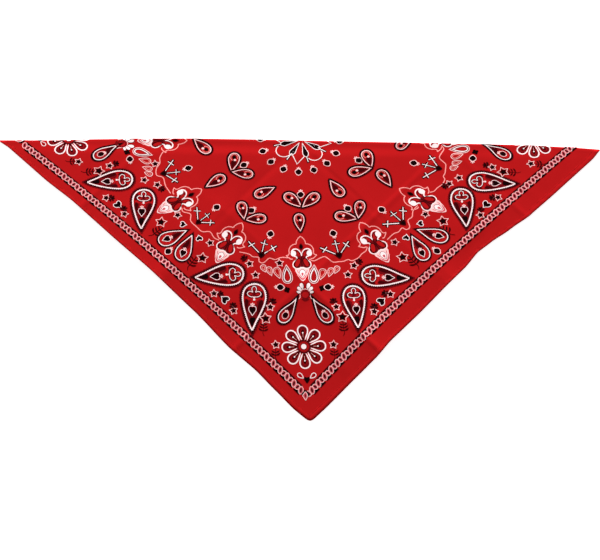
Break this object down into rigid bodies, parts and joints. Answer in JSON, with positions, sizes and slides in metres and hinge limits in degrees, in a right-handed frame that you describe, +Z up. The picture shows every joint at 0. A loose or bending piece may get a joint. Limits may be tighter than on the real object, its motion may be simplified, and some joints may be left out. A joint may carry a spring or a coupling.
{
  "type": "folded bandana",
  "caption": "Square cotton paisley bandana folded once along its diagonal and laid flat, with narrow stitched hems.",
  "frame": {"origin": "centre of the bounding box at the ground, under the folded triangle", "axes": "+X along the fold towards the right corner, -Y towards the tip, +Z up from the surface it lies on"},
  "size_m": [0.806, 0.379, 0.0085],
  "materials": {
    "printed_cotton": "matt plain-weave cotton, red with white, pink, maroon and black print",
    "hem_cotton": "matt red cotton, turned twice and stitched in red thread"
  },
  "bodies": {
    "root": {"cloth": "printed_cotton", "hem_front_left": "hem_cotton", "hem_front_right": "hem_cotton", "hem_back_left": "hem_cotton", "hem_back_right": "hem_cotton"}
  },
  "joints": []
}
